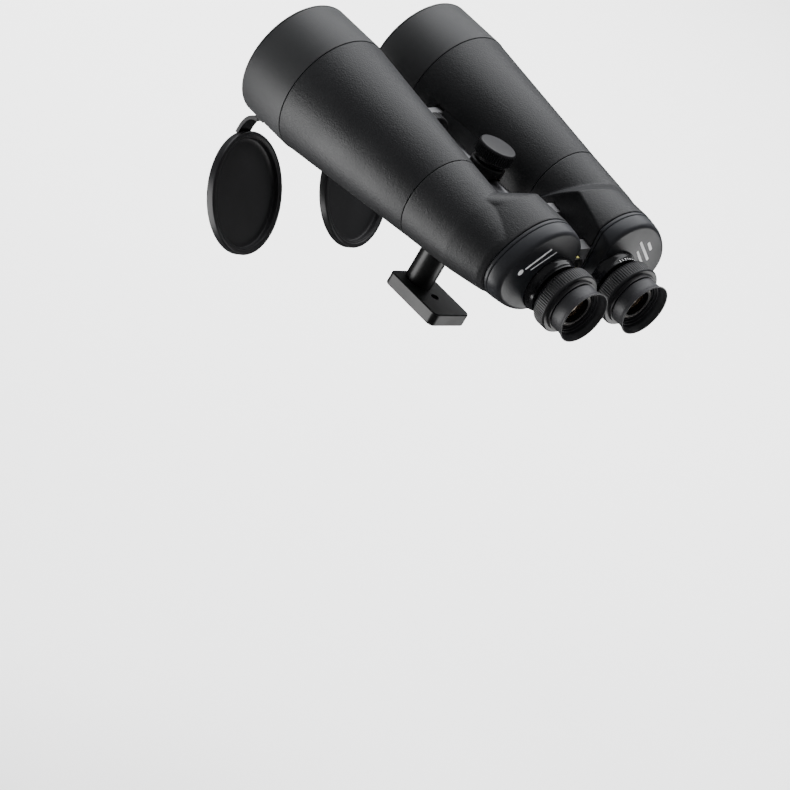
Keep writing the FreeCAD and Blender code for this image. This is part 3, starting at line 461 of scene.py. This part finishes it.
OBJECTIVE_X = 67.4
OBJECTIVE_Z = 3.8
EYEPIECE_X = 34.0
EYEPIECE_Z = -3.2
SEAM = -24.7
SEAM_GAP = 0.2
SEAM_RADIUS = 35.5
SLEEVE_REAR = 104.5
SLEEVE_FRONT = 152.0
SLEEVE_RADIUS = 50.0
SLEEVE_LIP = 44.5
TUBE_RADIUS = 47.6
ARM_CLEARANCE = Vector((2.0, 0.6, 0.6)) * MM


def objective_matrix(side):
    return frame_of(place(SIDES[side] * OBJECTIVE_X, 0, OBJECTIVE_Z), ALONG, UP)


def eyepiece_matrix(side):
    return frame_of(place(SIDES[side] * EYEPIECE_X, 0, EYEPIECE_Z), -ALONG, UP)


def tube_armour(side):
    """Conical rubber armour, with a fine seam where the housing begins."""
    mesh = lathe(side + "_armour_sleeve", [
        (33.55, SEAM + SEAM_GAP, 0.1), (SEAM_RADIUS, SEAM + SEAM_GAP, 0.3),
        (49.6, SLEEVE_REAR - 0.3, 0.5), (47.65, SLEEVE_REAR - 0.3, 0.1),
    ], objective_matrix(side), FINE_SEGMENTS)
    piece = finish_piece(side + "_armour_cone", mesh, ARMOUR, None,
                         [side + "_tube_armour"])
    centre, half = span(side + "_front_arm")
    cut_away(piece, block(centre - half - ARM_CLEARANCE, centre + half + ARM_CLEARANCE))
    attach(piece, side + "_half")


def sleeve(side):
    """Objective sleeve with a rounded front, a fine line near its edge and an inner lip."""
    line = SLEEVE_RADIUS - 0.3
    mesh = lathe(side + "_sleeve", [
        (TUBE_RADIUS, SLEEVE_REAR, 0.1), (SLEEVE_RADIUS, SLEEVE_REAR, 0.5),
        (SLEEVE_RADIUS, 148.6, 0.15), (line, 148.9, 0.15), (line, 149.5, 0.15),
        (SLEEVE_RADIUS, 149.8, 0.15), (SLEEVE_RADIUS, 150.9, 1.0), (48.6, SLEEVE_FRONT, 0.9),
        (SLEEVE_LIP, SLEEVE_FRONT, 0.5), (SLEEVE_LIP, 149.5, 0.3), (TUBE_RADIUS, 149.5, 0.3),
    ], objective_matrix(side), FINE_SEGMENTS)
    finish_piece(side + "_sleeve_skin", mesh, SLEEVE, side + "_half",
                 [side + "_objective_sleeve"], TURNED_SHARP)


# ---------------------------------------------------------------- rear covers

LOBE_X = 44.5
LOBE_Z = 7.7
LOBE_RADIUS = 36.8
OUTER_LOBE_RADIUS = 23.0
LOBE_BLEND = 12.0
WALL_START = 36.72
WALL_SLOPE = 0.2
COVER_POINTS = 180
FACE_BACK = 119.2
COVER_SHARP = 60
PRINT_LIFT = 0.05
BAR_POINTS = 32
HOLE_RADIUS = 13.5
COVER_WALL = 2.6
HOLLOW_INSET = 5.6


def outline(side, inset, back):
    """One outline of the housing: the smooth hull of two lobes, cut by the slanted wall."""
    inner = Vector((LOBE_X, LOBE_Z))
    outer = Vector((OBJECTIVE_X, OBJECTIVE_Z))
    middle = (inner + outer) / 2
    lobes = ((inner - middle, LOBE_RADIUS - inset), (outer - middle, OUTER_LOBE_RADIUS - inset))
    wall = WALL_START + inset - WALL_SLOPE * back
    ring = []
    for index in range(COVER_POINTS):
        angle = 2 * math.pi * index / COVER_POINTS
        normal = Vector((math.cos(angle), math.sin(angle)))
        tangent = Vector((-normal.y, normal.x))
        reaches = [lobe.dot(normal) + radius for lobe, radius in lobes]
        reach = sum(value ** LOBE_BLEND for value in reaches) ** (1 / LOBE_BLEND)
        drift = sum((value / reach) ** (LOBE_BLEND - 1) * lobe.dot(tangent)
                    for value, (lobe, _) in zip(reaches, lobes))
        point = middle + normal * reach + tangent * drift
        ring.append(place(SIDES[side] * max(point.x, wall), -back, point.y))
    return ring


def eyepiece_hole(side, radius, back):
    """A circle round the eyepiece axis with as many points as an outline."""
    ring = []
    for index in range(COVER_POINTS):
        angle = 2 * math.pi * index / COVER_POINTS
        ring.append(place(SIDES[side] * (EYEPIECE_X + radius * math.cos(angle)), -back,
                          EYEPIECE_Z + radius * math.sin(angle)))
    return ring


def cover(side):
    """Rear cover: stepped edge with two fine lines, rounded rim, flat face and eyepiece hole."""
    # Each step is the inset from the housing's outline and the place behind the hinge origin.
    steps = [
        (1.4, 104.85), (0.5, 104.9), (0.35, 105.2), (0.35, 107.2), (0.5, 107.5), (1.1, 107.65),
        (1.1, 107.95), (0.7, 108.1), (0.7, 108.6), (1.0, 112.0), (1.7, 116.0), (2.1, 117.1),
        (2.6, 117.9), (3.2, 118.5), (3.9, 118.9), (4.5, 119.1), (5.2, FACE_BACK),
    ]
    rings = [outline(side, *step) for step in steps]
    rings += [eyepiece_hole(side, HOLE_RADIUS, FACE_BACK),
              eyepiece_hole(side, HOLE_RADIUS, FACE_BACK - COVER_WALL),
              outline(side, HOLLOW_INSET, FACE_BACK - COVER_WALL),
              outline(side, HOLLOW_INSET, steps[0][1])]
    mesh = skin(side + "_cover", rings)
    finish_piece(side + "_cover_shell", mesh, COVER, side + "_half",
                 [side + "_housing_cover"], COVER_SHARP)


def bar(name, side, start, end, width):
    """Thin printed bar with round ends on the flat face of a cover, in mm across and up."""
    first = Vector(start)
    last = Vector(end)
    run = last - first
    heading = math.atan2(run.y, run.x) if run.length else 0.0
    rings = []
    for lift in (-PRINT_LIFT, PRINT_LIFT):
        ring = []
        for index in range(BAR_POINTS):
            angle = heading - math.pi / 2 + 2 * math.pi * index / BAR_POINTS
            middle = last if index <= BAR_POINTS / 2 else first
            ring.append(place(SIDES[side] * (middle.x + width / 2 * math.cos(angle)),
                              -FACE_BACK - lift, middle.y + width / 2 * math.sin(angle)))
        rings.append(ring)
    mesh = skin(name, rings, closed=False, ends=True)
    finish_piece(name, mesh, MARK, side + "_half")


# ---------------------------------------------------------------- eyepieces

GROOVE_SHARPNESS = 1.5
RIBBED_SEGMENTS = 640
KNURLED_SEGMENTS = 400
RING_RIBS = 80
RIB_DEPTH = 0.42
CUP_SHARP = 45
BASE_RADIUS = 23.4
BASE_SHOULDER = 21.6
BASE_WAIST = 17.1
TICK_RADIUS = 21.75
TICK_ROOT = 21.0
TICK_HALF_WIDTH = 0.45
TICK_START = 125.2
TICK_END = 127.0
TICK_EXTRA = 0.8
TICK_ANGLE = 7.0
TICKS_EACH_WAY = 3


def notched(count, depth, low_r, low, high):
    """Radius change that cuts fine grooves along a turned band."""
    def wave(angle, r, along):
        if r < low_r or not low <= along <= high:
            return r
        groove = max(0.0, math.cos(angle * count)) ** GROOVE_SHARPNESS
        return r - depth * groove
    return wave


def eyepiece(side):
    """Glossy base, ribbed focus ring, rubber cup and a metal edge round the lens."""
    matrix = eyepiece_matrix(side)
    base = lathe(side + "_base", [
        (13.2, FACE_BACK, 0.1), (BASE_RADIUS, FACE_BACK, 0.4), (22.9, 121.6, 1.0),
        (21.8, 124.2, 1.4), (BASE_SHOULDER, 127.4, 0.4), (BASE_WAIST, 127.5, 0.2),
        (BASE_WAIST, 136.4, 0.4), (13.2, 136.4, 0.1),
    ], matrix)
    finish_piece(side + "_base_shell", base, GLOSS, side + "_half",
                 [side + "_eyepiece_base"], TURNED_SHARP)
    ring = lathe(side + "_ring", [
        (17.7, 131.0, 0.2), (22.2, 131.0, 0.5), (24.6, 132.6, 0.8), (25.2, 134.4, 0.8),
        (25.2, 142.6, 0.2), (25.2, 143.4, 0.3), (24.5, 144.4, 0.5), (21.7, 144.5, 0.2),
        (21.4, 145.0, 0.3), (21.4, 147.1, 0.3), (14.1, 147.1, 0.1), (14.1, 142.95, 0.1),
        (17.7, 142.95, 0.1),
    ], matrix, RIBBED_SEGMENTS, 0.3, notched(RING_RIBS, RIB_DEPTH, 22.0, 131.2, 143.0))
    finish_piece(side + "_ring_ribs", ring, RING, side + "_focus",
                 [side + "_focus_ring"], TURNED_SHARP)
    cup = lathe(side + "_cup", [
        (16.0, 147.2, 0.1), (20.3, 147.2, 0.8), (20.0, 149.4, 1.0), (19.9, 153.0, 2.0),
        (20.4, 156.6, 2.0), (21.6, 159.2, 0.8), (21.6, 160.0, 0.4), (20.8, 160.0, 0.5),
        (19.9, 157.8, 0.8), (18.5, 155.6, 0.6), (18.3, 153.2, 0.2), (17.6, 153.1, 0.2),
        (17.5, 151.2, 0.2), (16.7, 151.1, 0.2), (16.6, 149.4, 0.2), (16.0, 149.3, 0.1),
    ], matrix)
    finish_piece(side + "_cup_rubber", cup, CUP, side + "_focus",
                 [side + "_eyecup"], CUP_SHARP)
    edge = lathe(side + "_lens_edge", [
        (10.9, 148.9, 0.1), (11.7, 149.6, 0.3), (12.6, 150.2, 0.3), (13.4, 151.1, 0.2),
        (12.2, 151.2, 0.2), (11.0, 149.9, 0.2),
    ], matrix)
    finish_piece(side + "_lens_rim", edge, EDGE_METAL, side + "_eyepiece", (),
                 TURNED_SHARP)


def ticks(side):
    """Short printed lines round the base, for setting the dioptre; the middle and ends longer."""
    matrix = eyepiece_matrix(side)
    wide = TICK_HALF_WIDTH
    for index in range(-TICKS_EACH_WAY, TICKS_EACH_WAY + 1):
        angle = math.radians(index * TICK_ANGLE)
        low = TICK_START - (TICK_EXTRA if index % TICKS_EACH_WAY == 0 else 0.0)
        rings = []
        for along in (low, TICK_END):
            ring = []
            for r, turn in ((TICK_ROOT, -wide), (TICK_RADIUS, -wide),
                            (TICK_RADIUS, wide), (TICK_ROOT, wide)):
                bend = angle + turn / r
                point = Vector((r * math.cos(bend), r * math.sin(bend), along))
                ring.append(matrix @ (point * MM))
            rings.append(ring)
        mesh = skin("tick", rings, closed=False, ends=True)
        finish_piece("{}_tick_{}".format(side, index + TICKS_EACH_WAY), mesh, MARK,
                     side + "_half")


# ---------------------------------------------------------------- objective caps

CAP_TILT = 58.5
CAP_TWIST = 12.0
CAP_MIDDLE = 1.75
CAP_SEGMENTS = 160
CAP_RADIUS = 47.3
CAP_BACK = -2.1
CAP_RIM = 5.6
STRAP_WIDTH = 13.0
STRAP_GAP = 1.0
ANCHOR_REAR = 143.0
ANCHOR_FRONT = 151.0
ANCHOR_RADIUS = 48.8
ANCHOR_STEPS = 8
ANCHOR_EDGE = 0.3


def objective_cap(side):
    """Rubber cap with a rounded back, a raised rim and a stepped recess."""
    centre, _ = span(side + "_objective_cap")
    turn = Matrix((ACROSS, ALONG, UP)).transposed()
    turn = turn @ Matrix.Rotation(math.radians(CAP_TILT), 3, "X")
    turn = turn @ Matrix.Rotation(math.radians(CAP_TWIST), 3, "Y")
    matrix = turn.to_4x4()
    matrix.translation = centre - turn @ Vector((0, 0, CAP_MIDDLE * MM))
    mesh = lathe(side + "_cap", [
        (0.0, CAP_BACK), (45.6, CAP_BACK, 1.6), (CAP_RADIUS, -0.6, 1.4), (CAP_RADIUS, 4.6, 0.8),
        (46.6, CAP_RIM, 0.7), (44.0, CAP_RIM, 0.6), (43.2, 4.9, 0.4), (42.1, 4.9, 0.5),
        (41.8, 1.0, 0.8), (40.4, 0.35, 0.6), (38.6, 0.0, 1.0), (0.0, 0.0),
    ], matrix, CAP_SEGMENTS)
    finish_piece(side + "_cap_dish", mesh, CAP, side + "_cap",
                 [side + "_objective_cap"], TURNED_SHARP)


def strap_anchor(side):
    """Moulded lug under the sleeve that carries the end of the cap's strap."""
    centre, _ = span(side + "_cap_strap")
    axis_x = SIDES[side] * OBJECTIVE_X
    offset = (centre - HINGE).dot(ACROSS) / MM - axis_x
    wide = STRAP_WIDTH / 2
    near = abs(offset) - wide
    low = -math.sqrt(SLEEVE_RADIUS ** 2 - near ** 2) - STRAP_GAP
    rings = []
    for step in range(ANCHOR_STEPS + 1):
        across = offset + wide * (2 * step / ANCHOR_STEPS - 1)
        high = -math.sqrt(ANCHOR_RADIUS ** 2 - across ** 2)
        rings.append([place(axis_x + across, y, OBJECTIVE_Z + z) for y, z in (
            (ANCHOR_REAR, high), (ANCHOR_FRONT, high), (ANCHOR_FRONT, low), (ANCHOR_REAR, low))])
    mesh = skin(side + "_anchor", rings, closed=False, ends=True)
    piece = finish_piece(side + "_strap_anchor", mesh, CAP, side + "_half")
    edges = piece.modifiers.new("edges", "BEVEL")
    edges.width = ANCHOR_EDGE * MM
    edges.segments = 2
    edges.limit_method = "ANGLE"


# ---------------------------------------------------------------- knobs and hinge line

KNOB_SHARP = 45
KNOB_ROUNDING = 0.3
KNURLS = 50
KNURL_DEPTH = 0.55
KNURL_ROOT = 14.3
HINGE_MARK_START = 105.0
HINGE_MARK_END = 109.2
HINGE_MARK_RADIUS = 9.75
HINGE_MARK_ROOT = 9.3
HINGE_MARK_HALF = 0.2


def knob(name, profile, matrix, knurl_start, knurl_end, body, replaced):
    """Turned knob with a knurled band."""
    wave = notched(KNURLS, KNURL_DEPTH, KNURL_ROOT, knurl_start, knurl_end)
    mesh = lathe(name, profile, matrix, KNURLED_SEGMENTS, KNOB_ROUNDING, wave)
    finish_piece(name + "_turned", mesh, KNOB, body, [replaced], KNOB_SHARP)


def hinge_line():
    """Knurled knobs of the clamp and of the rod's front end, and the rear hinge disc."""
    centre, half = span("clamp_knob")
    seat = Vector((HINGE.x, HINGE.y, centre.z - half.z))
    knob("clamp_knob", [
        (4.0, 0.0, 0.1), (11.9, 0.0, 0.4), (14.2, 4.3, 0.3), (15.3, 4.5, 0.4),
        (15.3, 12.3, 0.4), (14.5, 13.9, 0.5), (13.9, 14.4, 0.4), (0.0, 14.35), (0.0, 1.0),
        (4.0, 1.0, 0.1),
    ], frame_of(seat, UPRIGHT, ALONG), 4.4, 13.2, "clamp_knob", "clamp_knob")
    knob("end_knob", [
        (6.1, 54.0, 0.1), (10.8, 54.0, 0.3), (10.8, 56.0, 0.2), (14.6, 56.1, 0.4),
        (15.4, 57.0, 0.3), (15.4, 64.0, 0.3), (14.5, 65.0, 0.5), (6.1, 65.0, 0.2),
    ], frame_of(HINGE, ALONG, UP), 56.2, 64.5, "rod", "rod_end_knob")
    mesh = lathe("hinge_cap", [
        (0.0, 106.0), (9.4, 106.0, 0.2), (9.4, 109.0, 0.3), (8.6, 109.9, 0.4),
        (6.4, 109.9, 0.2), (6.0, 109.4, 0.3), (0.0, 109.4),
    ], frame_of(HINGE, -ALONG, UP))
    finish_piece("rear_hinge_disc", mesh, CAP_METAL, "rod", ["rear_hinge_cap"],
                 KNOB_SHARP)
    rings = []
    for along in (HINGE_MARK_START, HINGE_MARK_END):
        ring = []
        for r, turn in ((HINGE_MARK_ROOT, -HINGE_MARK_HALF),
                        (HINGE_MARK_RADIUS, -HINGE_MARK_HALF),
                        (HINGE_MARK_RADIUS, HINGE_MARK_HALF),
                        (HINGE_MARK_ROOT, HINGE_MARK_HALF)):
            ring.append(place(-r * math.sin(turn), -along, r * math.cos(turn)))
        rings.append(ring)
    mesh = skin("hinge_mark", rings, closed=False, ends=True)
    finish_piece("hinge_scale_mark", mesh, SCALE, "rod")


for side in SIDES:
    tube_armour(side)
    sleeve(side)
    cover(side)
    eyepiece(side)
    objective_cap(side)
    strap_anchor(side)
ticks("right")
hinge_line()

# Generic printed bars where the real covers carry print: start, end and width in mm.
bar("left_mark_dot", "left", start=(72.4, 10.0), end=(72.4, 10.0), width=5.0)
bar("left_mark_long", "left", start=(68.3, 13.1), end=(51.3, 28.2), width=2.0)
bar("left_mark_short", "left", start=(62.1, 11.7), end=(43.9, 25.3), width=1.3)
bar("right_mark_first", "right", start=(60.5, 25.2), end=(66.7, 19.3), width=2.4)
bar("right_mark_second", "right", start=(50.6, 26.4), end=(69.4, 9.9), width=2.2)
bar("right_mark_third", "right", start=(52.6, 18.0), end=(63.9, 7.5), width=2.0)


# ---------------------------------------------------------------- camera, lights, floor

LENS = 151.38
SENSOR = 36.0
FAR_CLIP = 50.0
CAMERA_PLACE = (-1833.4, -1279.2, 1048.2)
CAMERA_RIGHT = (0.6864, -0.6067, 0.4009)
CAMERA_UP = (0.0968, 0.6226, 0.7765)
CAMERA_BACK = (-0.7207, -0.4942, 0.4861)
FLOOR_LEVEL = -0.45
FLOOR_REACH = 6.0
WASH_TARGET = Vector((0.9, 0.7, FLOOR_LEVEL))
EYEPIECE_BACK = -150
WHITE = (1, 1, 1)
COOL_WHITE = (0.97, 0.98, 1.0)
SKY_COLOR = (0.95, 0.96, 0.98, 1)
SKY_LEVELS = {"From Min": -0.3, "From Max": 0.3, "To Min": 0.05, "To Max": 0.25}


def add_to_scene(thing):
    bpy.context.scene.collection.objects.link(thing)
    return thing


def area(name, toward, far, target, size, power, color=WHITE, mirrored=True):
    """Softbox seen from its target in a direction of the halves' frame, at a distance."""
    light = bpy.data.lights.new(name, "AREA")
    light.shape = "RECTANGLE"
    light.size, light.size_y = size
    light.energy = power
    light.color = color
    obj = bpy.data.objects.new(name, light)
    obj.location = target + turned_axis(*toward).normalized() * far
    obj.rotation_euler = (target - obj.location).to_track_quat("-Z", "Y").to_euler()
    obj.visible_camera = False
    obj.visible_glossy = mirrored
    add_to_scene(obj)


def add_camera():
    """Camera behind, above and to the left of the object, rolled a little."""
    data = bpy.data.cameras.new("camera")
    data.lens = LENS
    data.sensor_width = SENSOR
    data.clip_end = FAR_CLIP
    camera = add_to_scene(bpy.data.objects.new("camera", data))
    axes = [turned_axis(*way) for way in (CAMERA_RIGHT, CAMERA_UP, CAMERA_BACK)]
    camera.matrix_world = Matrix(axes).transposed().to_4x4()
    camera.matrix_world.translation = place(*CAMERA_PLACE)
    bpy.context.scene.camera = camera


def add_floor():
    """Pale paper floor, well below the object, that metal and gloss don't mirror."""
    corners = [(x * FLOOR_REACH, y * FLOOR_REACH, FLOOR_LEVEL)
               for x, y in ((-1, -1), (1, -1), (1, 1), (-1, 1))]
    mesh = bpy.data.meshes.new("floor")
    mesh.from_pydata(corners, [], [(0, 1, 2, 3)])
    floor = add_to_scene(bpy.data.objects.new("floor", mesh))
    floor.data.materials.append(plastic(
        "floor_paper", (0.93, 0.93, 0.93), rough=0.9, grain=400.0, depth=0.01 * MM,
        specular=0.1, spread=0.02, mottle=0.004))
    floor.visible_glossy = False


def add_sky():
    """Weak even light from above that fades out below the horizon."""
    world = bpy.data.worlds.new("world")
    world.use_nodes = True
    tree = world.node_tree
    sky = tree.nodes["Background"]
    sky.inputs["Color"].default_value = SKY_COLOR
    heading = tree.nodes.new("ShaderNodeTexCoord")
    axes = tree.nodes.new("ShaderNodeSeparateXYZ")
    level = tree.nodes.new("ShaderNodeMapRange")
    for socket, value in SKY_LEVELS.items():
        level.inputs[socket].default_value = value
    tree.links.new(heading.outputs["Generated"], axes.inputs["Vector"])
    tree.links.new(axes.outputs["Z"], level.inputs["Value"])
    tree.links.new(level.outputs["Result"], sky.inputs["Strength"])
    bpy.context.scene.world = world


add_camera()
add_floor()
middle = (cad_box[0] + cad_box[1]) / 2
area("key", toward=(0.42, 0.37, 0.83), far=1.1, target=middle, size=(1.5, 1.3), power=16.5,
     color=COOL_WHITE)
area("fill", toward=(-0.76, 0.42, -0.48), far=0.45, target=middle, size=(0.28, 0.40), power=2.6)
area("rear_fill", toward=(0.72, -0.55, -0.42), far=0.5, target=place(0, EYEPIECE_BACK, 0),
     size=(0.35, 0.35), power=1.5)
area("floor_wash", toward=(0.3, 0.3, 1.0), far=2.4, target=WASH_TARGET, size=(3.0, 3.0),
     power=340.0, mirrored=False)
add_sky()
